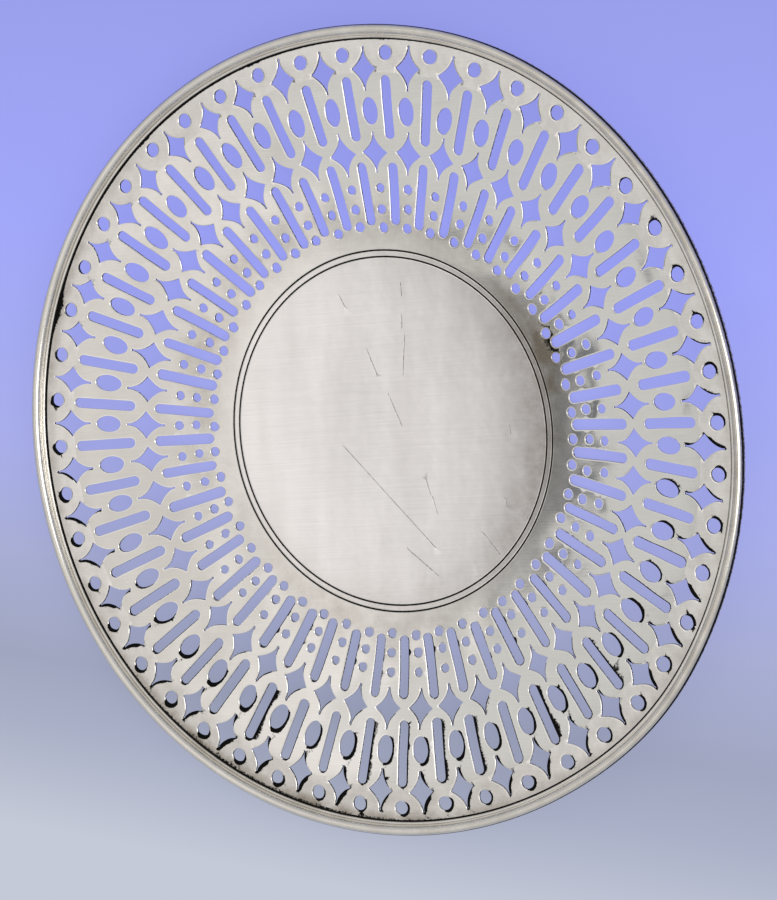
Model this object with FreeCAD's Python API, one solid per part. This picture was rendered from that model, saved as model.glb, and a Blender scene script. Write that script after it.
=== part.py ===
# Pierced sandwich plate in silver: a spun dish with a flat well and a flared rim that is drilled
# and sawn through in a repeating pattern, with a drawn border moulding soldered round its edge.
# Lengths are in millimetres and angles in degrees. Z is up. The origin is the centre of the
# underside of the well, which the plate rests on.

import FreeCAD, Part
import math
import os

# Overall
overall_diameter = 254.0

# Spun sheet, from the centre out: flat well, cavetto, straight flare and flange
sheet_thickness = 1.0
well_diameter = 108.0
cavetto_radius = 45.0
flare_angle = 13.1
flange_angle = 4.0
flange_width = 14.6
edge_setback = 0.3

# Border moulding: a bead, and inside it a lower step that falls towards the flange. It overhangs
# the edge of the sheet a little and is seated with a film of solder under it.
bead_width = 2.4
bead_height = 3.2
bead_crown = 0.9
step_width = 1.35
step_height = 1.3
step_fall = 0.5
solder_film = 0.02

# Solder seam in the corner between the moulding and the flange
seam_width = 0.35
seam_height = 0.35

# Piercing: the number of repeats, and the width around of each kind of opening
cell_count = 48
rim_hole_diameter = 4.5
small_hole_diameter = 3.1
slot_width = 3.2
oval_width = 4.9
star_width = 7.6
star_waist_width = 2.6
cut_overrun = 1.0

# Where the openings lie between the edge of the well, at 0, and the moulding, at 1: the middles of
# the drilled holes, and the inner and outer ends of the sawn openings
rim_hole_share = 0.933
small_hole_shares = (0.329, 0.238, 0.156)
outer_star_shares = (0.773, 0.961)
outer_slot_shares = (0.549, 0.839)
oval_shares = (0.618, 0.740)
inner_star_shares = (0.399, 0.587)
inner_slot_shares = (0.160, 0.452)

# Distance between a star's waists as a share of its length
star_waist_share = 0.385

# Round forms are laid out in flat panels and chords, to keep so many openings light. The sheet has
# one panel to each repeat, with its creases through the middles of the rim holes and slots.
moulding_panel_count = 60
cavetto_chord_count = 2
bead_chord_count = 5
hole_chord_count = 6
small_hole_chord_count = 4
oval_chord_count = 6
slot_end_chord_count = 2

# Worked out from the sizes above
half_sheet = sheet_thickness / 2
flare = math.radians(flare_angle)
flange = math.radians(flange_angle)
well_radius = well_diameter / 2
rim_radius = overall_diameter / 2
sheet_radius = rim_radius - edge_setback
step_radius = rim_radius - bead_width
moulding_radius = step_radius - step_width
flange_start = rim_radius - flange_width
cavetto_end = well_radius + cavetto_radius * math.sin(flare)
cavetto_top = half_sheet + cavetto_radius * (1 - math.cos(flare))
flare_top = cavetto_top + (flange_start - cavetto_end) * math.tan(flare)
band_width = moulding_radius - well_radius


def flange_height(radius, side):
    """Height of the flange's top (side 1) or underside (side -1), a shallow cone."""
    middle = flare_top + (radius - flange_start) * math.tan(flange)
    return middle + side * half_sheet / math.cos(flange)


def sheet_side(side):
    """The corners of one side of the sheet's section, as radius and height, from the well out."""
    corners = []
    for chord in range(cavetto_chord_count + 1):
        angle = flare * chord / cavetto_chord_count
        radius = cavetto_radius - side * half_sheet
        middle_height = half_sheet + cavetto_radius
        corners.append((well_radius + radius * math.sin(angle), middle_height - radius * math.cos(angle)))
    mitre = side * half_sheet * math.tan((flare + flange) / 2)
    corners.append((flange_start - mitre, flange_height(flange_start - mitre, side)))
    corners.append((sheet_radius, flange_height(sheet_radius, side)))
    return corners


def panel_corner(corner, panel, panels):
    """A corner of a section, on the crease before the numbered panel."""
    radius, height = corner
    turn = math.tau * panel / panels
    return FreeCAD.Vector(radius * math.cos(turn), radius * math.sin(turn), height)


def flat_face(corners):
    """A flat face with straight edges."""
    return Part.Face(Part.makePolygon(corners + corners[:1]))


def panel_strip(start, end, panels):
    """The ring of flat panels between two corners of a section."""
    strip = []
    for panel in range(panels):
        near = [panel_corner(start, panel, panels), panel_corner(end, panel, panels)]
        far = [panel_corner(end, panel + 1, panels), panel_corner(start, panel + 1, panels)]
        strip.append(flat_face(near + far))
    return strip


def ring_of(section):
    """The closed ring that a section makes round the Z axis."""
    faces = []
    for start, end in zip(section, section[1:] + section[:1]):
        faces += panel_strip(start, end, moulding_panel_count)
    return Part.makeSolid(Part.makeShell(faces))


def spun_sheet():
    """The dish before it is pierced: two sides, the edge of the rim and the two faces of the well."""
    top, underside = sheet_side(1), sheet_side(-1)
    section = top + underside[::-1]
    faces = []
    for start, end in zip(section, section[1:]):
        faces += panel_strip(start, end, cell_count)
    for well_corner in (top[0], underside[0]):
        faces.append(flat_face([panel_corner(well_corner, cell, cell_count) for cell in range(cell_count)]))
    return Part.makeSolid(Part.makeShell(faces))


def round_outline(length, width, chords):
    """A round or oval opening with corners on the crease."""
    turns = [math.tau * chord / chords for chord in range(chords)]
    return [(length / 2 * math.cos(turn), width / 2 * math.sin(turn)) for turn in turns]


def slot_outline(length):
    """A slot with rounded ends, running outward."""
    reach = (length - slot_width) / 2
    outline = []
    for end in (1, -1):
        for chord in range(slot_end_chord_count + 1):
            turn = math.pi * (chord / slot_end_chord_count - 1 / 2)
            out = reach + slot_width / 2 * math.cos(turn)
            outline.append((end * out, end * slot_width / 2 * math.sin(turn)))
    return outline


def star_outline(length):
    """A four-pointed star with hollow sides, its long points running in and out."""
    waist = star_waist_share * length
    outline = []
    for end in (1, -1):
        outline.append((end * length / 2, 0))
        outline.append((end * waist / 2, end * star_waist_width / 2))
        outline.append((0, end * star_width / 2))
        outline.append((-end * waist / 2, end * star_waist_width / 2))
    return outline


def hole_cutters(diameter, chords, share, phase):
    """Cutters for a row of drilled holes."""
    return row_cutters(round_outline(diameter, diameter, chords), well_radius + share * band_width, phase)


def sawn_cutters(outline_of, shares, phase):
    """Cutters for a row of sawn openings that fill the stretch of the band between two shares."""
    inner, outer = (well_radius + share * band_width for share in shares)
    return row_cutters(outline_of(outer - inner), (inner + outer) / 2, phase)


def row_cutters(outline, row_radius, phase):
    """Upright prisms through the sheet, one to each cell. The outline's first length runs outward."""
    low = -cut_overrun
    high = flange_height(sheet_radius, 1) + cut_overrun
    face = flat_face([FreeCAD.Vector(row_radius + out, around, low) for out, around in outline])
    prism = face.extrude(FreeCAD.Vector(0, 0, high - low))
    axis = FreeCAD.Vector(0, 0, 1)
    turns = [math.degrees(math.tau * (cell + phase) / cell_count) for cell in range(cell_count)]
    return [prism.rotated(FreeCAD.Vector(0, 0, 0), axis, turn) for turn in turns]


def oval_outline(length):
    """An oval opening, longest outward."""
    return round_outline(length, oval_width, oval_chord_count)


def pierced_plate():
    """The spun sheet with every opening cut through its rim, on the cells' creases or between them."""
    crease, between = 0, 1 / 2
    cutters = hole_cutters(rim_hole_diameter, hole_chord_count, rim_hole_share, crease)
    cutters += sawn_cutters(star_outline, outer_star_shares, between)
    cutters += sawn_cutters(slot_outline, outer_slot_shares, crease)
    cutters += sawn_cutters(oval_outline, oval_shares, between)
    cutters += sawn_cutters(star_outline, inner_star_shares, between)
    cutters += sawn_cutters(slot_outline, inner_slot_shares, crease)
    for share in small_hole_shares:
        cutters += hole_cutters(small_hole_diameter, small_hole_chord_count, share, between)
    return spun_sheet().cut(Part.makeCompound(cutters))


def bead_arc(foot):
    """The bead's crown, from its outer side over to its inner one, as radius and height."""
    half_width = bead_width / 2
    radius = (half_width**2 + bead_crown**2) / (2 * bead_crown)
    half_turn = math.asin(half_width / radius)
    centre_height = foot + bead_height - radius
    arc = []
    for chord in range(bead_chord_count + 1):
        turn = half_turn * (1 - 2 * chord / bead_chord_count)
        out = rim_radius - half_width + radius * math.sin(turn)
        arc.append((out, centre_height + radius * math.cos(turn)))
    return arc


def seat_height(radius):
    """Height of the underside of the moulding and its seam, on their film of solder."""
    return flange_height(radius, 1) + solder_film


def border_moulding():
    """The drawn border, which lies on the flange along its edge."""
    foot = seat_height(moulding_radius)
    section = [
        (rim_radius, seat_height(rim_radius)),
        *bead_arc(foot),
        (step_radius, foot + step_height),
        (moulding_radius, foot + step_height - step_fall),
        (moulding_radius, foot),
    ]
    return ring_of(section)


def solder_seam():
    """The fillet of solder along the inner foot of the moulding."""
    inner = moulding_radius - seam_width
    foot = seat_height(moulding_radius)
    section = [(moulding_radius, foot), (moulding_radius, foot + seam_height), (inner, seat_height(inner))]
    return ring_of(section)


os.makedirs("parts", exist_ok=True)
pierced_plate().exportStep("parts/pierced_plate.step")
border_moulding().exportStep("parts/border_moulding.step")
solder_seam().exportStep("parts/solder_seam.step")
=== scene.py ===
# Looks for a pierced sandwich plate in silver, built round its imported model.
# Shapes are worked out in millimetres and turned to metres where they become meshes.

from collections import namedtuple

import bpy
import numpy as np
from mathutils import Matrix, Vector
from mathutils.geometry import delaunay_2d_cdt


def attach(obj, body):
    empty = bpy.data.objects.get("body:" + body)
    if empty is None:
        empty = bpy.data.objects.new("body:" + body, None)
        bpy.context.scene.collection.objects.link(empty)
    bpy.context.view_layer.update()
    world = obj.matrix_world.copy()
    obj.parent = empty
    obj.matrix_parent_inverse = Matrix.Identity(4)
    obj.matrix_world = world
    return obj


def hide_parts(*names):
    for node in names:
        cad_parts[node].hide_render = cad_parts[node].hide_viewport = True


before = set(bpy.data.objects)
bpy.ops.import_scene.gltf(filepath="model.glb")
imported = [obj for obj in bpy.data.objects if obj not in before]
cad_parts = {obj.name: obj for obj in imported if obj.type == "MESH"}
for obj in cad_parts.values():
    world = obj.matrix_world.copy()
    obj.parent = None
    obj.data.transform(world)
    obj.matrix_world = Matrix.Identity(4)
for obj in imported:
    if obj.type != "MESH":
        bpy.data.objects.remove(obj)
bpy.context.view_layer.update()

METRES = 0.001
TURN = 2 * np.pi
hand = np.random.default_rng(1912)

# The spun sheet: a dished well, a cavetto, a flare and, past a bend, a flange. Its section is worked
# out a little past its edge.
sheet_thickness = 1.0
sheet_radius = 126.55
section_end = 128.0
bend_radius = 112.0
flange_start = bend_radius + 0.01
rim_point_count = 288

# Distances from the axis with the sheet's slope there in degrees, which changes evenly in between
well_slopes = ((0, 0), (20, 0.6), (38, 1.8), (54, 3.1), (57.2, 4.6))
cavetto_slopes = ((58.6, 6), (63, 7), (68, 7.8), (72, 8.6), (76, 9.5), (80, 10.8), (84, 13.2))
flare_slopes = ((88, 14.3), (96, 14), (104, 12.8), (bend_radius, 12.5))
flange_slopes = ((flange_start, 3.3), (section_end, 3.1))
slope_radii, slope_degrees = np.transpose(well_slopes + cavetto_slopes + flare_slopes + flange_slopes)

# Two lines cut round the well with a pointed tool
line_radii = (57.1, 55.05)
line_half_width = 0.35
line_depth = 0.22

# Edges of the openings: rounded over by the saw and the polishing mop, which also draws the metal
# down a little for some way round them
edge_round = 0.14
edge_reach = 0.45
edge_droop = 0.03
edge_slope = np.radians(9)

# Piercing: the number of repeats round the rim
cell_count = 48

# The soldered border: a bead with a narrow fillet inside it, and the seam along its inner foot. Use
# has rubbed them most round one angle.
rim_radius = 126.88
fillet_radius = 122.75
bead_radii = (1.5, 1.56)
fillet_radii = (0.48, 0.36)
solder_film = 0.02
moulding_step_count = 480
rubbed_angle = 262

# Knocks and wear that have pushed the rim out of round: angle, spread and depth, outward positive
knocks = ((266, 24, -1.35), (265, 44, -0.8), (212, 13, 0.95), (318, 20, 0.95), (165, 32, -0.7), (28, 25, 0.3))
knock_start = 62.0

# Scratches in the well, from end to end
scratches = np.array(
    [
        ((42.4, -19.6), (38.8, -18.6)),
        ((33.3, -16.4), (29.7, -15.2)),
        ((26.8, -15.1), (15.7, -10.3)),
        ((26.8, -0.7), (18.5, -1.4)),
        ((11.3, -3.1), (0.6, -4.3)),
        ((0.6, 18.1), (-38.7, -2.6)),
        ((-17.9, -6.8), (-23.0, -6.7)),
        ((-23.8, -7.2), (-29.0, -7.0)),
        ((-39.5, -20.8), (-47.4, -24.3)),
        ((45.3, 2.5), (42.2, 2.0)),
        ((-36.8, 6.9), (-47.8, -1.0)),
        ((-31.6, -31.8), (-33.5, -31.6)),
        ((-11.0, -40.7), (-12.8, -40.4)),
    ]
)
scratch_half_width = 0.17
scratch_depth = 0.014
scratch_grime = 0.47

# Brown tarnish: strength, angle and its spread, distance from the axis and its spread
tarnish_patches = (
    (0.55, 50, 50, 70, 11),
    (0.45, 335, 36, 66, 9),
    (0.95, 279, 17, 63, 5.5),
    (0.6, 248, 52, 52, 8),
    (0.55, 268, 42, 60, 4),
    (0.3, 130, 40, 60, 5),
    (0.3, 30, 34, 98, 15),
    (0.22, 120, 30, 94, 16),
    (0.85, 140, 50, 122.0, 2.2),
    (0.6, 52, 30, 121.6, 2.2),
    (0.35, 230, 90, 121.8, 1.6),
    (0.2, 180, 900, 116, 5),
    (0.25, 150, 70, 116, 6),
    (0.35, 165, 48, 64, 12),
)

# Black deposits, given in the same way
deposit_patches = (
    (0.3, 279, 8, 65, 3.5),
    (0.45, 53, 4, 121.4, 1.6),
    (0.42, 145, 62, 122.0, 0.8),
    (0.2, rubbed_angle, 55, 121.2, 1.8),
    (0.55, 10, 60, 122.3, 0.4),
    (0.12, 55, 30, 74, 9),
    (0.1, 150, 60, 80, 14),
    (0.27, 180, 900, 30, 60),
)


def arc(centre, radii, start, end, count):
    """Points on an ellipse: centre plus radii times cosine and sine, from start to end degrees."""
    angles = np.radians(np.linspace(start, end, count))
    return np.stack((centre[0] + radii[0] * np.cos(angles), centre[1] + radii[1] * np.sin(angles)), 1)


def hump(value, middle, spread):
    """A bell, 1 at its middle: e to the minus square of the distance from it over the spread."""
    return np.exp(-(((value - middle) / spread) ** 2))


def bell(angle, middle, spread):
    """The same bell over an angle round the axis, in degrees, taken the short way round."""
    return hump((angle - middle + 180) % 360, 180, spread)


def ease(value, start, end):
    """A share that runs from 0 at start to 1 at end, as three of its square less two of its cube."""
    share = np.clip((value - start) / (end - start), 0, 1)
    return share**2 * (3 - 2 * share)


def place_of(points):
    """Distance from the axis, and angle round it in degrees."""
    return np.hypot(points[..., 0], points[..., 1]), np.degrees(np.arctan2(points[..., 1], points[..., 0]))


def scattered(spread, shape=cell_count):
    """Seeded hand error, with nothing past two of its spreads."""
    return np.clip(hand.normal(0, 1, shape), -2, 2) * spread


def patches_at(points, patches):
    """Sum of the patches at plan points: strength times a bell over the angle and one over distance."""
    radius, angle = place_of(points)
    total = np.zeros(len(points))
    for strength, middle, spread, distance, width in patches:
        total += strength * bell(angle, middle, spread) * hump(radius, distance, width)
    return total


def knocked(points):
    """Points moved in or out by the knocks: a bell over the angle for each, times the share of the
    way from the cavetto to the rim, to the power 0.85."""
    radius, angle = place_of(points)
    share = np.clip((radius - knock_start) / (rim_radius - knock_start), 0, 1) ** 0.85
    shift = share * sum(depth * bell(angle, middle, spread) for middle, spread, depth in knocks)
    moved = points.copy()
    moved[..., :2] *= (1 + shift / np.maximum(radius, 1))[..., None]
    return moved


# The sheet's section, as height over distance from the axis, in steps of 0.05 mm
section_radii = np.linspace(0, section_end, 2561)
section_rise = np.cumsum(np.tan(np.radians(np.interp(section_radii, slope_radii, slope_degrees))))
section_rise = (section_rise - section_rise[0]) * (section_radii[1] - section_radii[0])

# Waves left in the cavetto and flare by planishing, a degree or so steep and 9 to 36 mm long
wave_count = 18
wave_lengths = hand.uniform(9, 36, wave_count)
wave_turns = hand.uniform(0, TURN, wave_count)
wave_starts = hand.uniform(0, TURN, wave_count)
wave_heights = np.radians(0.7) * np.sqrt(2 / wave_count) * wave_lengths / TURN
wave_pulls = np.stack((np.cos(wave_turns), np.sin(wave_turns))) * TURN / wave_lengths


def scratch_share(points):
    """1 on the line of a scratch, falling evenly to 0 at its half width, by the distance to the
    nearest of the straight lines from start to end."""
    start, line = scratches[:, 0], scratches[:, 1] - scratches[:, 0]
    from_start = points[:, None] - start
    along = np.clip((from_start * line).sum(-1) / (line**2).sum(-1), 0, 1)
    distance = np.linalg.norm(from_start - along[..., None] * line, axis=-1).min(1)
    return np.clip(1 - distance / scratch_half_width, 0, 1)


def relief(points, side):
    """What is added to the sheet's section at plan points: the planishing waves, which fade towards
    the well and the bend and are highest at 70 mm, and on the top, less the two cut lines, which are
    V cuts, and the scratches."""
    radius = np.hypot(points[:, 0], points[:, 1])
    waves = (wave_heights * np.cos(points @ wave_pulls + wave_starts)).sum(1)
    height = waves * ease(radius, 57.5, 66) * ease(radius, bend_radius, bend_radius - 6)
    height = height * (1 + 1.8 * hump(radius, 70, 8))
    if side > 0:
        for line in line_radii:
            height = height - line_depth * np.clip(1 - np.abs(radius - line) / line_half_width, 0, 1)
        height = height - scratch_depth * scratch_share(points)
    return height


def sheet_height(points, side):
    """Height of the top (side 1) or underside (side -1) at plan points: the running sum of the
    slope's tangent, plus or minus half the thickness over the slope's cosine, and the relief."""
    radius = np.hypot(points[:, 0], points[:, 1])
    slope = np.radians(np.interp(radius, slope_radii, slope_degrees))
    middle = sheet_thickness / 2 + np.interp(radius, section_radii, section_rise)
    return middle + side * sheet_thickness / 2 / np.cos(slope) + relief(points, side)


def side_normals(points, side, inside, outside):
    """Normals of the sheet's top or underside at plan points: the slope's tangent outward plus the
    relief's gradient by differences. The slope is read between the two distances given."""
    step = line_half_width / 5
    radius = np.hypot(points[:, 0], points[:, 1])
    slope = np.radians(np.interp(np.clip(radius, inside, outside), slope_radii, slope_degrees))
    rise = np.tan(slope)[:, None] * points / np.maximum(radius, 1)[:, None]
    for axis, push in enumerate(((step, 0), (0, step))):
        rise[:, axis] += (relief(points + push, side) - relief(points - push, side)) / (2 * step)
    normals = np.column_stack((-rise, np.ones(len(points))))
    return side * normals / np.linalg.norm(normals, axis=1)[:, None]


# Outlines of the openings, as distance outward and around from the opening's middle, anticlockwise


def oval_outline(point_count):
    """A unit circle, which the row's half sizes stretch."""
    return arc((0, 0), (1, 1), 0, 360, point_count + 1)[:-1]


def slot_outline(half_length, half_width):
    """Two half circles of the slot's half width, pulled apart outward, with points down both sides."""
    reach = half_length - half_width
    along = np.linspace(1, -1, 8)[1:-1] * reach
    outer = arc((reach, 0), (half_width, half_width), -90, 90, 9)
    inner = arc((-reach, 0), (half_width, half_width), 90, 270, 9)
    left = np.stack((along, np.full_like(along, half_width)), 1)
    right = np.stack((-along, np.full_like(along, -half_width)), 1)
    return np.concatenate((outer, left, inner, right))


def star_outline(inner_reach, outer_reach, tip):
    """A four-pointed star. A side's distance from the long axis falls from the tip as one less the
    share of the reach, to the power 2.15, to half a saw cut, which ends in the drilled start hole."""
    saw, drill = 0.2, 0.34
    share = np.linspace(0, 0.86, 8)
    hollow = (tip - saw) * (1 - share) ** 2.15 + saw
    quarters = []
    for reach in (outer_reach, inner_reach):
        side = np.stack((share * reach, hollow), 1)
        end = arc((reach - drill, 0), (drill, drill), 125, 0, 4)
        quarters.append(np.concatenate((side, end)))
    outer, inner = quarters
    first = outer[::-1]
    second = inner[1:] * (-1, 1)
    third = (inner[::-1] * (-1, -1))[1:]
    fourth = outer[1:-1] * (1, -1)
    return np.concatenate((first, second, third, fourth))


# A row of openings: its outline, the distance of its middles from the axis, where they lie in the
# cell, how far a middle strays, how far an opening is turned (in degrees), how dark its cut walls are,
# partly tarnish and partly painted dark reflection, how strong its black crescents are and how far they reach
# round the rim (in degrees)
Row = namedtuple("Row", "outline radius phase stray turn wall held reach")
rows = (
    Row(oval_outline(24) * (2.25, 2.25), 117.95, 0.0, 0.26, 0, 0.42, 0.6, 118),
    Row(star_outline(6.6, 6.6, 4.25), 113.4, 0.5, 0.24, 3.0, 0.4, 0.72, 92),
    Row(slot_outline(9.9, 1.62), 101.4, 0.0, 0.24, 0.9, 0.37, 0.33, 70),
    Row(oval_outline(30) * (4.25, 2.6), 100.4, 0.5, 0.26, 4.0, 0.37, 0.85, 71),
    Row(star_outline(6.5, 6.7, 4.4), 87.6, 0.5, 0.22, 3.0, 0.39, 0.24, 62),
    Row(slot_outline(10.1, 1.6), 74.8, 0.0, 0.18, 0.7, 0.36, 0.2, 70),
    Row(oval_outline(18) * (1.46, 1.46), 76.4, 0.5, 0.2, 0, 0.36, 0.1, 60),
    Row(oval_outline(18) * (1.5, 1.5), 70.2, 0.5, 0.2, 0, 0.36, 0.1, 60),
    Row(oval_outline(18) * (1.56, 1.56), 64.45, 0.5, 0.2, 0, 0.36, 0.1, 60),
)


def loop_normals(points):
    """Unit normals of closed outlines, pointing into the metal: across the line between neighbours."""
    along = np.roll(points, -1, 1) - np.roll(points, 1, 1)
    across = np.stack((along[..., 1], -along[..., 0]), -1)
    return across / np.linalg.norm(across, axis=-1, keepdims=True)


def sawn_row(outline, radius, phase, stray, turn):
    """One row of openings in plan, with their normals into the metal. Each is the outline scaled,
    waved by three low harmonics, turned and set round the axis with a small seeded error."""
    count = len(outline)
    sizes = 1 + scattered(0.03, (cell_count, 1, 2))
    local = outline * sizes
    around = np.arange(count) / count * TURN
    wave = np.zeros((cell_count, count))
    for harmonic in (2, 3, 5):
        start = hand.uniform(0, TURN, (cell_count, 1))
        wave += scattered(0.03, (cell_count, 1)) * np.cos(harmonic * around + start)
    local = local + loop_normals(local) * wave[..., None]
    cell = (np.arange(cell_count) + phase) / cell_count * TURN
    cell = cell + scattered(stray) / radius
    middle = radius + scattered(stray)
    tilt = cell + np.radians(scattered(turn))
    cosine, sine = np.cos(tilt)[:, None], np.sin(tilt)[:, None]
    x = (middle * np.cos(cell))[:, None] + local[..., 0] * cosine - local[..., 1] * sine
    y = (middle * np.sin(cell))[:, None] + local[..., 0] * sine + local[..., 1] * cosine
    plan = np.stack((x, y), -1)
    return plan, loop_normals(plan), cell


# Black crescents drawn beside the openings, each on one side of its opening. They lie round one
# angle, are up to their width across, and take up to a share of the metal beside them.
# A value past the limit is drawn black.
crescent_angle = 174
crescent_width = 1.5
crescent_share = 0.36
crescent_lean = 0.3
crescent_limit = 0.36


def crescent_of(normals, cell, held, reach):
    """How wide the black crescent is at each outline point, 0 to 1. For the opening, it is a flat bell
    over the angle, as wide as the row's reach, times a seeded share and the row's crescent amount. Round
    the opening, it grows with the part of the normal that points its way, which is outward and turned
    anticlockwise by 42 to 66 degrees, and its tips have none."""
    angle = np.degrees(cell)
    away = (angle - crescent_angle + 180) % 360 - 180
    amount = held * np.exp(-((away / reach) ** 6)) * hand.uniform(0.7, 1.35, cell_count)
    crescent_turn = np.radians(42 + 24 * bell(angle, 165, 30))[:, None]
    outward = np.stack((np.cos(cell), np.sin(cell)), -1)
    around = np.stack((-np.sin(cell), np.cos(cell)), -1)
    crescent_way = np.cos(crescent_turn) * outward + np.sin(crescent_turn) * around
    side = ease((normals * crescent_way[:, None]).sum(-1), 0, 0.85)
    alike = (normals * np.roll(normals, 1, 1)).sum(-1)
    straight = ease(np.minimum(alike, np.roll(alike, -1, 1)), 0.5, 0.9)
    return np.clip(amount, 0, 1)[:, None] * side * straight


def crescent_darkness(crescent, distance):
    """The black crescent's value at a distance from an outline: it passes the limit, where it turns black, at
    the width.
    """
    return crescent_limit + 1.3 * (crescent_width * crescent - distance)


def room_beside(plans):
    """How far each outline point is from the nearest other opening, in its own cell or the next."""
    outline = np.concatenate(plans, 1)
    row = np.repeat(np.arange(len(plans)), [plan.shape[1] for plan in plans])
    room = np.full(outline.shape[:2], np.inf)
    for shift in (-1, 0, 1):
        other = np.roll(outline, shift, 0)
        distance = np.linalg.norm(outline[:, :, None] - other[:, None], axis=-1)
        if shift == 0:
            distance[:, row[:, None] == row] = np.inf
        room = np.minimum(room, distance.min(2))
    return np.split(room, np.cumsum([plan.shape[1] for plan in plans])[:-1], axis=1)


def in_metal(points, made, margin):
    """Whether plan points lie in the metal, clear of the openings by a margin: how far each is along
    the normal of the outline point nearest to it."""
    outline = np.concatenate([plan.reshape(-1, 2) for plan, _, _ in made])
    into = np.concatenate([normals.reshape(-1, 2) for _, normals, _ in made])
    nearest = np.linalg.norm(points[:, None] - outline, axis=-1).argmin(1)
    return ((points - outline[nearest]) * into[nearest]).sum(-1) > margin


def mesh_object(name, points, faces, marks, normals=None):
    """A smooth mesh from points in millimetres, with named values for each point, and a normal for
    each corner of each face if given."""
    mesh = bpy.data.meshes.new(name)
    mesh.from_pydata((knocked(points) * METRES).tolist(), [], faces.tolist())
    for mark, values in marks.items():
        mesh.attributes.new(mark, "FLOAT", "POINT").data.foreach_set("value", values.astype(np.float32))
    mesh.shade_smooth()
    if normals is not None:
        mesh.normals_split_custom_set(normals.reshape(-1, 3).tolist())
    mesh.update()
    piece = bpy.data.objects.new(name, mesh)
    bpy.context.scene.collection.objects.link(piece)
    return piece


def strip_faces(first, second):
    """Triangles between two rings of point numbers, (rings, points) each, turning the same way."""
    first_next, second_next = np.roll(first, -1, -1), np.roll(second, -1, -1)
    lower = np.stack((first, second, second_next), -1).reshape(-1, 3)
    upper = np.stack((first, second_next, first_next), -1).reshape(-1, 3)
    return np.concatenate((lower, upper))


def circle(radius, count):
    """Plan points evenly round a circle."""
    return arc((0, 0), (radius, radius), 0, 360, count + 1)[:-1]


def turning(flat, triangles):
    """Twice the area of each plan triangle, positive where it turns anticlockwise."""
    corner = flat[triangles]
    first, second = corner[:, 1] - corner[:, 0], corner[:, 2] - corner[:, 0]
    return first[:, 0] * second[:, 1] - first[:, 1] * second[:, 0]


def pierced_plan(loops, looped, free, lines):
    """One side of the sheet in plan: a triangulation of the outlines, the free points and the lines
    between some of them, less the triangles inside the openings, each turned anticlockwise."""
    rings = [np.stack((loop, np.roll(loop, -1, -1)), -1).reshape(-1, 2) for loop in loops]
    edges = np.concatenate(rings + [lines])
    flat = np.concatenate((looped, free))
    settled = delaunay_2d_cdt([Vector(point) for point in flat.tolist()], edges.tolist(), [], 0, 1e-9)
    if len(settled[0]) != len(flat):
        raise ValueError("two lines of the plan touch")
    triangles = np.array(settled[2])

    # A triangle whose corners all lie on one opening is inside it if it turns the outline's way
    owner = np.full(len(flat), -1)
    for number, loop in enumerate(loops[:-1]):
        owner[loop] = number * cell_count + np.arange(cell_count)[:, None]
    own = owner[triangles]
    same = (own[:, 0] >= 0) & (own[:, 0] == own[:, 1]) & (own[:, 1] == own[:, 2])
    inside = same & (turning(flat, np.sort(triangles, 1)) > 0)
    triangles = triangles[~inside]
    flip = turning(flat, triangles) < 0
    triangles[flip] = triangles[flip][:, ::-1]
    return flat, triangles


def free_circles(made):
    """Plan points on circles that carry the well's dish, the cut lines, the ends of the sheet and the
    bend, less those of the bend that the openings cut away."""
    spacing = 3.5
    rounds = [np.zeros((1, 2))]
    rounds += [circle(r, int(TURN * r / spacing)) for r in np.arange(spacing, 53.5, spacing)]
    for line in line_radii:
        rounds += [circle(line + offset * line_half_width, 360) for offset in (-1.6, -1, 0, 1, 1.6)]
    rounds += [circle(r, 240) for r in (53.6, 58.9, 60.6)]
    rounds += [circle(r, rim_point_count) for r in (121.2, 121.8, 122.2, 124)]
    for line, margin in ((bend_radius, 0.3), (bend_radius + 1.8, 0.8)):
        points = circle(line, int(TURN * line))
        rounds.append(points[in_metal(points, made, margin)])
    return np.concatenate(rounds)


def scratch_lines():
    """The ends of five lines for each scratch: its middle, its two sides and one outside each."""
    line = scratches[:, 1] - scratches[:, 0]
    across = np.stack((-line[:, 1], line[:, 0]), -1) / np.linalg.norm(line, axis=-1, keepdims=True)
    offsets = np.array((-1.7, -1, 0, 1, 1.7))[:, None, None, None] * scratch_half_width * across[:, None]
    return (scratches + offsets).reshape(-1, 2)


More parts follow.
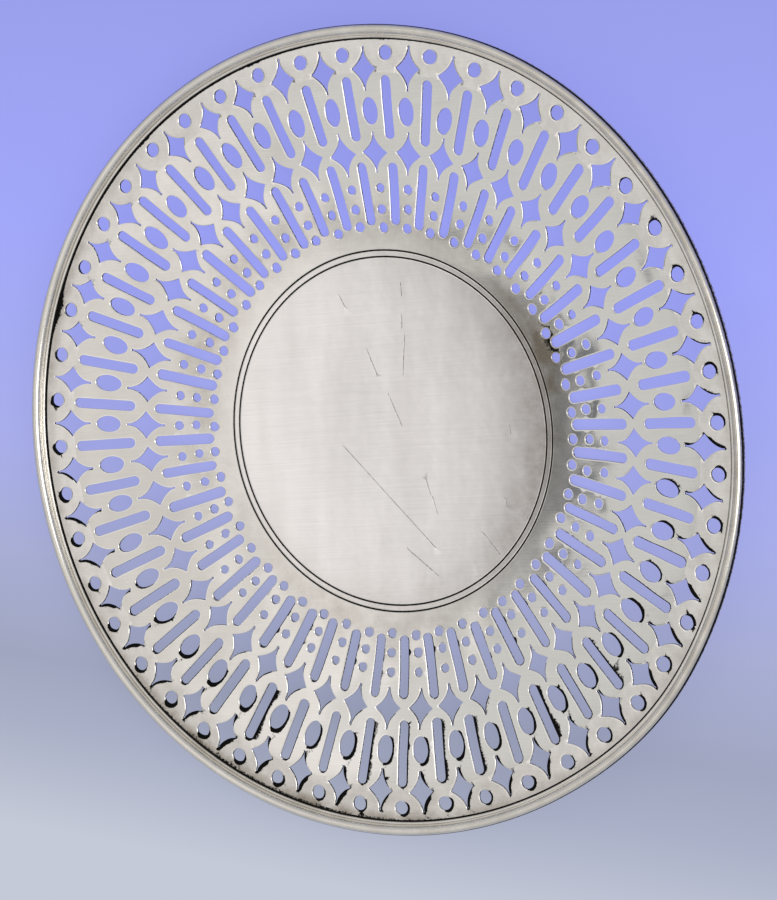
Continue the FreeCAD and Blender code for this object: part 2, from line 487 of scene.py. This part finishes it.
def pierced_sheet():
    """The spun and pierced sheet. Each side is a triangulation in plan, lifted to the side's height.
    Each outline then has its rounded edge and its wall as rings of points, moved along the
    outline's normals and down through the thickness."""
    made = [sawn_row(*row[:5]) for row in rows]
    room = room_beside([plan for plan, _, _ in made])
    loops, looped, walls, nearby, beside = [], [], [], [], []
    base = 0
    for (plan, normals, cell), row, gap in zip(made, rows, room):
        count = plan.shape[1]
        loops.append(base + np.arange(cell_count * count).reshape(cell_count, count))
        looped.append((plan + normals * edge_round).reshape(-1, 2))
        crescent = crescent_of(normals, cell, row.held, row.reach)
        crescent = np.minimum(crescent, crescent_share * gap / crescent_width)
        walls.append((plan, normals, crescent, row.wall * hand.uniform(0.8, 1.2, (cell_count, 1))))
        base += cell_count * count

        # Free points at the end of the edge's droop and of the black crescent, at most at under half the
        # way to the next opening
        for reach, least in ((edge_reach, edge_round + 0.16), (crescent_width * crescent, edge_reach + 0.17)):
            reach = np.minimum(reach, 0.42 * gap)
            keep = reach > least
            nearby.append((plan + normals * reach[..., None])[keep])
            beside.append(crescent_darkness(crescent, reach)[keep])
    looped.append(circle(sheet_radius - edge_round, rim_point_count))
    loops.append(base + np.arange(rim_point_count)[None])
    looped = np.concatenate(looped)

    # The two sides in plan. The top's circles keep clear of the scratches, and the underside has none.
    ends, rounds = scratch_lines(), free_circles(made)
    clear = np.linalg.norm(rounds[:, None] - ends[None], axis=-1).min(1) > 0.15
    free = np.concatenate([ends, rounds[clear]] + nearby)
    lines = len(looped) + np.arange(len(ends)).reshape(-1, 2)
    flat, triangles = pierced_plan(loops, looped, free, lines)
    plain = np.concatenate([np.zeros((1, 2))] + [circle(r, 144) for r in (20, 40, 54, 60, 124)])
    under_flat, under_triangles = pierced_plan(loops, looped, plain, lines[:0])

    # Heights, normals and values of the top
    count = len(flat)
    radius = np.hypot(flat[:, 0], flat[:, 1])
    top_height = sheet_height(flat, 1)
    flare_normals = side_normals(flat, 1, 0, bend_radius)
    flange_normals = side_normals(flat, 1, flange_start, rim_radius)
    tarnish = patches_at(flat, tarnish_patches)
    grime_and_shade = patches_at(flat, deposit_patches)
    for line in line_radii:
        grime_and_shade = np.maximum(grime_and_shade, np.clip(1.15 - np.abs(radius - line) / line_half_width, 0, 1))
    grime_and_shade = np.maximum(grime_and_shade, scratch_grime * scratch_share(flat))
    held = np.concatenate(beside)
    grime_and_shade[-len(held) :] = np.maximum(grime_and_shade[-len(held) :], held)

    # The openings' edges, which droop on the top, are tipped over and hold the black crescents
    edge = np.zeros(count)
    under_grime = np.full(len(under_flat), 0.08)
    edge_push = np.tan(edge_slope)
    for loop, (_, into, crescent, _) in zip(loops, walls):
        number = loop.reshape(-1)
        top_height[number] -= edge_droop
        tip = np.column_stack((into.reshape(-1, 2) * edge_push, np.zeros(len(number))))
        for side in (flare_normals, flange_normals):
            side[number] -= tip
            side[number] /= np.linalg.norm(side[number], axis=1)[:, None]
        grime_and_shade[number] = np.maximum(grime_and_shade[number] * 0.6, crescent_darkness(crescent, edge_round).reshape(-1))
        under_grime[number] = 0.25
        edge[number] = 1
    points = [np.column_stack((flat, top_height))]
    points.append(np.column_stack((under_flat, sheet_height(under_flat, -1))))
    normals = [flare_normals, side_normals(under_flat, -1, 0, rim_radius)]
    faces = [triangles, under_triangles[:, ::-1] + count]
    marks = []
    total = count + len(under_flat)

    # Walls: three rings of points between the two sides for each outline, and for the rim. Each ring
    # has its place along the normal, its depth in roundings of the edge (or none, just above the
    # underside), how far it faces up and its share of the wall's dark, partly tarnish and partly a
    # painted dark reflection. A black crescent makes the wall lean into the opening.
    rim_line, rim_inward = circle(sheet_radius, rim_point_count), -circle(1, rim_point_count)
    walls.append((rim_line[None], rim_inward[None], np.zeros((1, rim_point_count)), 0.4))
    for loop, (plan, into, crescent, black) in zip(loops, walls):
        rings = [loop]
        black = np.broadcast_to(black, crescent.shape)
        lip = crescent_lean * crescent
        upper_ring = (0.25 * edge_round, 0.35, 1.2, 0.4)
        middle_ring = (-0.6 * lip, 2.4, 0.35, 1.0)
        lower_ring = (-lip, None, 0.2, 1.0)
        for offset, depth, up, share in (upper_ring, middle_ring, lower_ring):
            ring = (plan + into * np.broadcast_to(offset, crescent.shape)[..., None]).reshape(-1, 2)
            upper, lower = sheet_height(ring, 1), sheet_height(ring, -1)
            height = lower + edge_round if depth is None else upper - edge_droop - depth * edge_round
            points.append(np.column_stack((ring, height)))
            facing = np.column_stack((-into.reshape(-1, 2), np.full(into.size // 2, up)))
            normals.append(facing / np.linalg.norm(facing, axis=1)[:, None])
            # A ring's value: its share of the wall's dark, partly a painted dark reflection, plus the black
            # crescent
            marks.append(np.clip(share * black + crescent * 1.2, 0, 1).reshape(-1))
            rings.append(total + np.arange(plan.size // 2).reshape(loop.shape))
            total += plan.size // 2
        rings.append(loop + count)
        for above, below in zip(rings, rings[1:]):
            faces.append(strip_faces(below, above))

    # The rim's own loop bounds the metal from outside, so its four strips turn the other way
    faces[-4:] = [strip[:, ::-1] for strip in faces[-4:]]
    points, faces = np.concatenate(points), np.concatenate(faces)
    rest = len(points) - count

    # The bend from the flare to the flange is a crease: a face takes the normals of its own side
    normals = np.concatenate(normals)[faces]
    outer = np.nonzero(radius[triangles].mean(1) > bend_radius)[0]
    normals[outer] = flange_normals[triangles[outer]]
    # The grime values hold deposits, cut lines, scratches and crescents, and on the walls partly a painted
    # dark reflection
    values = {
        "grime_and_shade": np.concatenate([grime_and_shade, under_grime] + marks),
        "tarnish": np.concatenate((tarnish, np.full(rest, 0.2))),
        "edge": np.concatenate((edge, np.full(rest, 0.5))),
        "brushed": np.concatenate((ease(radius, 58, 55), np.zeros(rest))),
    }
    return mesh_object("silver_sheet", points, faces, values, normals)


def carried_round(name, section, count, wander, values):
    """A closed section carried round the axis: distance and height from the section, turned through
    the angle, plus a slow seeded wander of both that closes on itself."""
    angle = np.arange(count) / count * TURN
    shift = np.zeros((2, count))
    for harmonic in (2, 3, 5, 9, 16):
        size = scattered(wander / harmonic, (2, 1))
        shift += size * np.cos(harmonic * angle + hand.uniform(0, TURN, (2, 1)))
    distance = section[None, :, 0] + shift[0][:, None] - np.abs(shift[0]).max()
    height = section[None, :, 1] + shift[1][:, None]
    points = np.stack((distance * np.cos(angle)[:, None], distance * np.sin(angle)[:, None], height), -1)
    number = np.arange(count * len(section)).reshape(count, len(section))
    faces = strip_faces(number, np.roll(number, -1, 0))
    spread = {mark: np.broadcast_to(value, number.shape).reshape(-1) for mark, value in values.items()}
    piece = mesh_object(name, points.reshape(-1, 3), faces, spread)
    piece.data.set_sharp_from_angle(angle=np.radians(50))
    return piece


def foot_height(radius):
    """Height that the border and its seam rest at, a film of solder above the sheet."""
    return float(sheet_height(np.array([[radius, 0.0]]), 1)[0]) + solder_film


def border():
    """The drawn border: up the inner foot, over the fillet, down into the hollow, over the bead and
    down its outer side, then back under along the sheet. Grime lies in the joint at the inner foot and
    in the hollow, and the outer side, which falls away from the light, is painted dark as shade; both are
    least where the border is rubbed."""
    foot, outer_foot = foot_height(fillet_radius), foot_height(rim_radius - 0.2)
    inner_side = [(fillet_radius + 0.12, foot), (fillet_radius, foot + 0.25), (fillet_radius, foot + 0.5)]
    fillet_middle = (fillet_radius + fillet_radii[0], foot + 0.55)
    bead_middle = (rim_radius - bead_radii[0], foot + 1.5)
    outer_side = [
        (rim_radius - 0.04, foot + 0.8),
        (rim_radius - 0.14, outer_foot + 0.12),
        (rim_radius - 0.3, outer_foot),
    ]
    fillet = arc(fillet_middle, fillet_radii, 170, 35, 7)
    bead = arc(bead_middle, bead_radii, 205, -12, 24)
    section = np.concatenate((inner_side, fillet, bead, outer_side))

    # Values over the angle and the section
    angle = np.arange(moulding_step_count)[:, None] * 360 / moulding_step_count
    away, up = section[None, :, 0] - fillet_radius, section[None, :, 1] - foot
    rubbed = bell(angle, rubbed_angle, 75)
    joint = np.clip(1.3 - up * 2.2, 0, 1) * (away < 0.3) * (1 - 0.75 * bell(angle, rubbed_angle, 40))
    hollow = 0.15 * hump(away, 1.05, 0.2)
    # The bead's outer side: painted shade, black and brown, where it falls away from the light
    outside = ease(away, 3.65 + 0.2 * rubbed, 3.92 + 0.12 * rubbed)
    grime_and_shade = joint + hollow + 0.6 * outside * (1 - 0.2 * rubbed)
    low = 1 - ease(away, 0.4, 1)
    inner_tarnish = low * (0.45 * bell(angle, 140, 24) + 0.3 * bell(angle, 330, 30))
    tarnish = 0.2 + inner_tarnish + 0.8 * outside + 0.45 * rubbed * hump(away, 2.7, 1.0)
    values = {"grime_and_shade": grime_and_shade[:, ::-1], "tarnish": tarnish[:, ::-1], "edge": 0.5}
    return carried_round("silver_border", section[::-1], moulding_step_count, 0.07, values)


def seam():
    """The fillet of solder along the border's inner foot, a low ridge that thins onto the sheet."""
    inner = fillet_radius - 0.55
    near, far = foot_height(fillet_radius), foot_height(inner)
    section = np.array(
        [
            (fillet_radius + 0.1, near),
            (fillet_radius + 0.1, near + 0.34),
            (fillet_radius - 0.1, near + 0.28),
            (fillet_radius - 0.28, near + 0.15),
            (inner + 0.12, far + 0.06),
            (inner, far),
        ]
    )
    angle = np.arange(moulding_step_count)[:, None] * 360 / moulding_step_count
    grime_and_shade = 1 - 0.9 * bell(angle, rubbed_angle, 42) - 0.35 * bell(angle, 150, 16)
    values = {"grime_and_shade": grime_and_shade, "tarnish": 0.8, "edge": 0}
    return carried_round("solder_line", section, moulding_step_count, 0.05, values)


# Materials


def linear(code, alpha=1.0):
    """Linear colour of an sRGB hex value: ((c + 0.055) / 1.055) to the power 2.4, or c / 12.92 when dark."""
    value = np.array([int(code[place : place + 2], 16) for place in (0, 2, 4)]) / 255
    value = np.where(value > 0.04045, ((value + 0.055) / 1.055) ** 2.4, value / 12.92)
    return (*value.tolist(), alpha)


def add(tree, kind, values=None, stops=None, **settings):
    """Adds a node with its settings, its input values or links, and a ramp's stops."""
    node = tree.nodes.new(kind)
    for name, value in settings.items():
        setattr(node, name, value)
    for name, value in (values or {}).items():
        if isinstance(value, bpy.types.NodeSocket):
            tree.links.new(value, node.inputs[name])
        else:
            node.inputs[name].default_value = value
    if stops:
        ramp = node.color_ramp
        while len(ramp.elements) < len(stops):
            ramp.elements.new(0.5)
        for element, (place, colour) in zip(ramp.elements, stops):
            element.position = place
            element.color = colour
    return node


def new_tree(owner):
    """An empty node tree for a material or world."""
    owner.use_nodes = True
    owner.node_tree.nodes.clear()
    return owner.node_tree


def silver_finish(name, tint, brown, black, roughness, grain):
    """Silver polished by hand for many years. The tint varies slowly; the metal between the openings
    is painted a little duller than their edges, as shade; tarnish lies in brown clouds, with bands of
    painted shade in the well; deposits are black and matt, and the same black paints shade on the border's
    outer side and partly on the cut walls. Wipe marks run with the grain."""
    material = bpy.data.materials.new(name)
    tree = new_tree(material)
    place = add(tree, "ShaderNodeTexCoord").outputs["Object"]
    mark = {}
    for kind in ("grime_and_shade", "tarnish", "edge", "brushed"):
        mark[kind] = add(tree, "ShaderNodeAttribute", attribute_name=kind).outputs["Fac"]

    # Slow changes of tone about 25 mm across, and bands of painted shade about 12 mm wide across the well's
    # grain, such as its shallow waves reflect
    slow = add(tree, "ShaderNodeTexNoise", {"Vector": place, "Scale": 40.0, "Detail": 4.0, "Roughness": 0.6})
    tone = add(
        tree,
        "ShaderNodeValToRGB",
        {"Fac": slow.outputs["Fac"]},
        stops=((0.36, linear(tint[0])), (0.64, linear(tint[1]))),
    ).outputs["Color"]
    banded = add(
        tree,
        "ShaderNodeMapping",
        {"Vector": place, "Rotation": (0, 0, -0.29), "Scale": (0.08, 0.012, 0.025)},
        vector_type="TEXTURE",
    )
    band = add(tree, "ShaderNodeTexNoise", {"Vector": banded.outputs["Vector"], "Scale": 1.0, "Detail": 2.0})
    shade_bands = add(
        tree,
        "ShaderNodeMapRange",
        {"Value": band.outputs["Fac"], "From Min": 0.35, "From Max": 0.75, "To Max": 0.14},
    )
    shade_bands = add(tree, "ShaderNodeMath", {0: shade_bands.outputs["Result"], 1: mark["brushed"]}, operation="MULTIPLY")

    # Brown tarnish in clouds of about 8 mm with finer breaks, over all of the metal a little, with the
    # painted shade bands added to it
    clouds = {"Vector": place, "Scale": 120.0, "Detail": 7.0, "Roughness": 0.68}
    cloud = add(tree, "ShaderNodeTexNoise", clouds)
    share = add(
        tree,
        "ShaderNodeMapRange",
        {"Value": cloud.outputs["Fac"], "From Min": 0.32, "From Max": 0.68, "To Min": 0.35, "To Max": 1.0},
    )
    stain_and_shade = add(
        tree,
        "ShaderNodeMath",
        {0: share.outputs["Result"], 1: mark["tarnish"], 2: shade_bands.outputs["Value"]},
        operation="MULTIPLY_ADD",
        use_clamp=True,
    )
    stained_and_shaded = add(
        tree,
        "ShaderNodeMix",
        {"Factor": stain_and_shade.outputs["Value"], "A": tone, "B": linear(brown)},
        data_type="RGBA",
    ).outputs["Result"]

    # Painted shade on the metal between the openings, away from their edges, broken up at about a millimetre
    crumbs = {"Vector": place, "Scale": 1300.0, "Detail": 4.0, "Roughness": 0.65}
    crumb = add(tree, "ShaderNodeTexNoise", crumbs)
    unshaded = add(tree, "ShaderNodeMath", {0: mark["edge"], 1: mark["brushed"]}, operation="ADD", use_clamp=True)
    web_shade = add(
        tree,
        "ShaderNodeMapRange",
        {"Value": unshaded.outputs["Value"], "To Min": 0.15, "To Max": 0.0},
    )
    web_shade = add(
        tree,
        "ShaderNodeMath",
        {0: web_shade.outputs["Result"], 1: crumb.outputs["Fac"], 2: web_shade.outputs["Result"]},
        operation="MULTIPLY_ADD",
    )
    web_shaded = add(
        tree,
        "ShaderNodeMix",
        {"Factor": web_shade.outputs["Value"], "A": stained_and_shaded, "B": linear("c4c2b4")},
        data_type="RGBA",
    ).outputs["Result"]

    # Hairlines really under a tenth of a millimetre apart, drawn about three times as coarse
    streak = add(tree, "ShaderNodeTexNoise", {"Vector": grain(tree, place), "Scale": 1.0, "Detail": 3.0})
    combed = add(
        tree,
        "ShaderNodeMapRange",
        {"Value": streak.outputs["Fac"], "From Min": 0.3, "From Max": 0.7, "To Min": 0.96, "To Max": 1.02},
    )
    combed = add(
        tree,
        "ShaderNodeVectorMath",
        {0: web_shaded, "Scale": combed.outputs["Result"]},
        operation="SCALE",
    )

    # Black deposits, the black crescents, and black painted shade on the border's outer side and partly on
    # the cut walls, with an edge broken up at about half a millimetre
    ragged = {0: crumb.outputs["Fac"], 1: 0.4, 2: mark["grime_and_shade"]}
    broken = add(tree, "ShaderNodeMath", ragged, operation="MULTIPLY_ADD")
    blackened = add(
        tree,
        "ShaderNodeMapRange",
        {"Value": broken.outputs["Value"], "From Min": 0.56, "From Max": 0.64},
    ).outputs["Result"]
    colour = add(
        tree,
        "ShaderNodeMix",
        {"Factor": blackened, "A": combed.outputs["Vector"], "B": linear(black)},
        data_type="RGBA",
    )
    metal = add(tree, "ShaderNodeMapRange", {"Value": blackened, "To Min": 1.0, "To Max": 0.0})
    gloss = add(tree, "ShaderNodeMapRange", {"Value": blackened, "To Min": 0.5, "To Max": 0.08})
    rough = add(
        tree,
        "ShaderNodeMapRange",
        {"Value": mark["brushed"], "To Min": roughness[0], "To Max": roughness[1]},
    )
    rough = add(
        tree,
        "ShaderNodeMath",
        {0: stain_and_shade.outputs["Value"], 1: 0.12, 2: rough.outputs["Result"]},
        operation="MULTIPLY_ADD",
    )
    rough = add(tree, "ShaderNodeMix", {"Factor": blackened, "A": rough.outputs["Value"], "B": 0.8})

    # Relief: shallow dents about 4 mm across, the hairlines, and the crust of the deposits
    dent = add(tree, "ShaderNodeTexNoise", {"Vector": place, "Scale": 230.0, "Detail": 1.5})
    bump = add(tree, "ShaderNodeBump", {"Strength": 0.6, "Distance": 0.00003, "Height": dent.outputs["Fac"]})
    lumps = add(tree, "ShaderNodeMath", {0: blackened, 1: crumb.outputs["Fac"]}, operation="MULTIPLY")
    for height, strength, distance in (
        (streak.outputs["Fac"], 0.5, 0.000012),
        (lumps.outputs["Value"], 0.6, 0.00015),
    ):
        under = bump.outputs["Normal"]
        layer = {"Strength": strength, "Distance": distance, "Height": height, "Normal": under}
        bump = add(tree, "ShaderNodeBump", layer)
    surface = add(
        tree,
        "ShaderNodeBsdfPrincipled",
        {
            "Base Color": colour.outputs["Result"],
            "Metallic": metal.outputs["Result"],
            "Roughness": rough.outputs["Result"],
            "Specular IOR Level": gloss.outputs["Result"],
            "Normal": bump.outputs["Normal"],
        },
    )
    add(tree, "ShaderNodeOutputMaterial", {"Surface": surface.outputs["BSDF"]})
    return material


def straight_grain(tree, place):
    """Hairlines drawn straight across the plate: about 0.3 mm apart and 20 mm long."""
    turned = add(
        tree,
        "ShaderNodeMapping",
        {"Vector": place, "Rotation": (0, 0, -0.24), "Scale": (0.0003, 0.02, 0.0025)},
        vector_type="TEXTURE",
    )
    return turned.outputs["Vector"]


def drawn_grain(tree, place):
    """Die marks that follow the wire round: the distance from the axis and the height, about 0.3 mm
    apart, with the direction from the axis as a slow change along the wire."""
    flat = add(tree, "ShaderNodeVectorMath", {0: place, 1: (1, 1, 0)}, operation="MULTIPLY").outputs["Vector"]
    length = add(tree, "ShaderNodeVectorMath", {0: flat}, operation="LENGTH").outputs["Value"]
    height = add(tree, "ShaderNodeSeparateXYZ", {"Vector": place}).outputs["Z"]
    across = add(tree, "ShaderNodeMath", {0: length, 1: height}, operation="SUBTRACT").outputs["Value"]
    across = add(tree, "ShaderNodeMath", {0: across, 1: 3200.0}, operation="MULTIPLY").outputs["Value"]
    turn = add(tree, "ShaderNodeVectorMath", {0: flat}, operation="NORMALIZE").outputs["Vector"]
    slow = add(tree, "ShaderNodeVectorMath", {0: turn, 1: (8, 8, 0)}, operation="MULTIPLY").outputs["Vector"]
    lift = add(tree, "ShaderNodeCombineXYZ", {"Z": across}).outputs["Vector"]
    return add(tree, "ShaderNodeVectorMath", {0: slow, 1: lift}).outputs["Vector"]


# Rolled and spun sterling sheet: a close polish on the rim and a brushed, softer one in the well
sheet_silver = silver_finish(
    "polished_sterling_sheet", ("f5f3f0", "fbf9f6"), "85786a", "0b0a09", (0.09, 0.16), straight_grain
)

# Drawn sterling border wire: brighter on top, where hands and cloths rub it
border_silver = silver_finish(
    "drawn_sterling_wire", ("f0ede8", "f7f4ee"), "85765f", "14110f", (0.2, 0.2), drawn_grain
)

# Old hard solder, oxidised nearly black, with a dull broken surface
seam_solder = silver_finish(
    "oxidised_silver_solder", ("b4afa6", "c9c4ba"), "5a4a38", "0d0b0a", (0.45, 0.45), drawn_grain
)

sheet = pierced_sheet()
rim = border()
joint = seam()
for piece, material, node, slot in (
    (sheet, sheet_silver, "pierced_plate", "silver_sheet"),
    (rim, border_silver, "border_moulding", "silver_wire"),
    (joint, seam_solder, "solder_seam", "tarnished_solder"),
):
    piece.data.materials.append(material)
    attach(piece, "root")
    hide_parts(node)

# The camera stands over the near side of the rim, turned so that the rim's far side is at the left

camera_place = np.array([-55.51, -498.92, 887.71])
camera_target = np.array([-5.94, -3.7, 12.73])
camera_roll = np.radians(-102.65)
sensor_width = 36.0
lens_length = 129.56


def camera_axes():
    """Right, up and back of the camera: the level view towards the target, rolled about its axis."""
    ahead = camera_target - camera_place
    ahead = ahead / np.linalg.norm(ahead)
    level = np.cross(ahead, (0, 0, 1))
    level = level / np.linalg.norm(level)
    rise = np.cross(level, ahead)
    right = np.cos(camera_roll) * level + np.sin(camera_roll) * rise
    up = np.cos(camera_roll) * rise - np.sin(camera_roll) * level
    return right, up, -ahead


right, up, back = camera_axes()
camera_data = bpy.data.cameras.new("camera")
camera_data.sensor_width = sensor_width
camera_data.lens = lens_length
camera_data.clip_end = 20
camera = bpy.data.objects.new("camera", camera_data)
rotation = Matrix(np.stack((right, up, back), 1).tolist())
camera.matrix_world = Matrix.Translation(camera_place * METRES) @ rotation.to_4x4()
bpy.context.scene.collection.objects.link(camera)
bpy.context.scene.camera = camera

# Floor: a wide pale sheet of paper under the plate, lilac grey, paler towards the bottom of the view

floor_radius = 3.0
floor_mesh = bpy.data.meshes.new("floor")
floor_points = np.column_stack((circle(floor_radius, 96), np.zeros(96)))
floor_mesh.from_pydata(floor_points.tolist(), [], [list(range(96))])
floor = bpy.data.objects.new("floor", floor_mesh)
bpy.context.scene.collection.objects.link(floor)

floor_material = bpy.data.materials.new("seamless_lilac_paper")
tree = new_tree(floor_material)
place = add(tree, "ShaderNodeTexCoord").outputs["Object"]
away = (up + 0.12 * right) * (1, 1, 0) / np.linalg.norm(up[:2])
along = add(tree, "ShaderNodeVectorMath", {0: place, 1: away.tolist()}, operation="DOT_PRODUCT")
along = along.outputs["Value"]
share = add(tree, "ShaderNodeMapRange", {"Value": along, "From Min": -0.15, "From Max": 0.145})
paper = add(
    tree,
    "ShaderNodeValToRGB",
    {"Fac": share.outputs["Result"]},
    stops=(
        (0.0, linear("c8cedc")),
        (0.12, linear("aeb4cb")),
        (0.2, linear("a4aac4")),
        (0.32, linear("acb2d9")),
        (0.45, linear("adb3f1")),
        (0.7, linear("a6acff")),
        (1.0, linear("9ca2ee")),
    ),
)
matt = add(tree, "ShaderNodeBsdfDiffuse", {"Color": paper.outputs["Color"]})
lit = add(tree, "ShaderNodeEmission", {"Color": paper.outputs["Color"]})
ray = add(tree, "ShaderNodeLightPath")
seen = add(
    tree,
    "ShaderNodeMath",
    {0: ray.outputs["Is Camera Ray"], 1: ray.outputs["Is Glossy Ray"]},
    operation="MAXIMUM",
)
seen = add(
    tree,
    "ShaderNodeMath",
    {0: seen.outputs["Value"], 1: ray.outputs["Is Transmission Ray"]},
    operation="MAXIMUM",
)
lift = add(tree, "ShaderNodeMath", {0: seen.outputs["Value"], 1: 0.68}, operation="MULTIPLY")
both = {"Fac": lift.outputs["Value"], 1: matt.outputs["BSDF"], 2: lit.outputs["Emission"]}
shown = add(tree, "ShaderNodeMixShader", both)
add(tree, "ShaderNodeOutputMaterial", {"Surface": shown.outputs["Shader"]})
floor_mesh.materials.append(floor_material)

# Light: a white tent overhead, with a dim gap between its panels on the far side, over a grey room.
# Folds of the cloth hang into the gap and break it up.

far_side = (0.111, 0.994, 0.0)
far_across = (0.994, -0.111, 0.0)
world = bpy.data.worlds.new("studio_tent")
bpy.context.scene.world = world
tree = new_tree(world)
direction = add(tree, "ShaderNodeTexCoord").outputs["Generated"]
height = add(tree, "ShaderNodeSeparateXYZ", {"Vector": direction}).outputs["Z"]
tent = add(
    tree,
    "ShaderNodeValToRGB",
    {"Fac": height},
    stops=(
        (0.0, linear("a8aab2")),
        (0.3, linear("bcbec3")),
        (0.5, linear("d0d0cf")),
        (0.74, linear("d6d6d5")),
        (0.82, linear("dddcdb")),
        (0.868, linear("e9e7e6")),
        (0.885, linear("fefafa")),
        (0.915, linear("faf6f5")),
        (0.945, linear("f4f2f0")),
        (0.965, linear("ebe8e5")),
        (1.0, linear("dcdad7")),
    ),
)
facing = add(tree, "ShaderNodeVectorMath", {0: direction, 1: far_side}, operation="DOT_PRODUCT")
aside = add(tree, "ShaderNodeVectorMath", {0: direction, 1: far_across}, operation="DOT_PRODUCT")
facing, aside = facing.outputs["Value"], aside.outputs["Value"]
gap = None
for value, start, end in (
    (facing, 0.3, 0.4),
    (aside, 0.125, 0.1),
    (aside, -0.09, -0.05),
    (height, 0.675, 0.695),
    (height, 0.866, 0.82),
):
    side = add(tree, "ShaderNodeMapRange", {"Value": value, "From Min": start, "From Max": end})
    side = side.outputs["Result"]
    if gap is not None:
        side = add(tree, "ShaderNodeMath", {0: side, 1: gap}, operation="MULTIPLY").outputs["Value"]
    gap = side
drape = add(tree, "ShaderNodeTexNoise", {"Vector": direction, "Scale": 16.0, "Detail": 3.0}).outputs["Fac"]
drape = add(tree, "ShaderNodeMapRange", {"Value": drape, "From Min": 0.43, "From Max": 0.5, "To Min": 0.2})
gap = add(tree, "ShaderNodeMath", {0: gap, 1: drape.outputs["Result"]}, operation="MULTIPLY").outputs["Value"]
room = add(
    tree,
    "ShaderNodeMix",
    {"Factor": gap, "A": tent.outputs["Color"], "B": linear("64676e")},
    data_type="RGBA",
)
glow = add(tree, "ShaderNodeBackground", {"Color": room.outputs["Result"], "Strength": 1.0})
add(tree, "ShaderNodeOutputWorld", {"Surface": glow.outputs["Background"]})

lamp_data = bpy.data.lights.new("soft_lamp", "AREA")
lamp_data.shape = "DISK"
lamp_data.size = 1.2
lamp_data.energy = 12
lamp = bpy.data.objects.new("soft_lamp", lamp_data)
lamp.location = (-0.5, -1.3, 1.45)
lamp.rotation_euler = lamp.location.to_track_quat("Z", "Y").to_euler()
bpy.context.scene.collection.objects.link(lamp)

bpy.context.scene.view_settings.view_transform = "Standard"
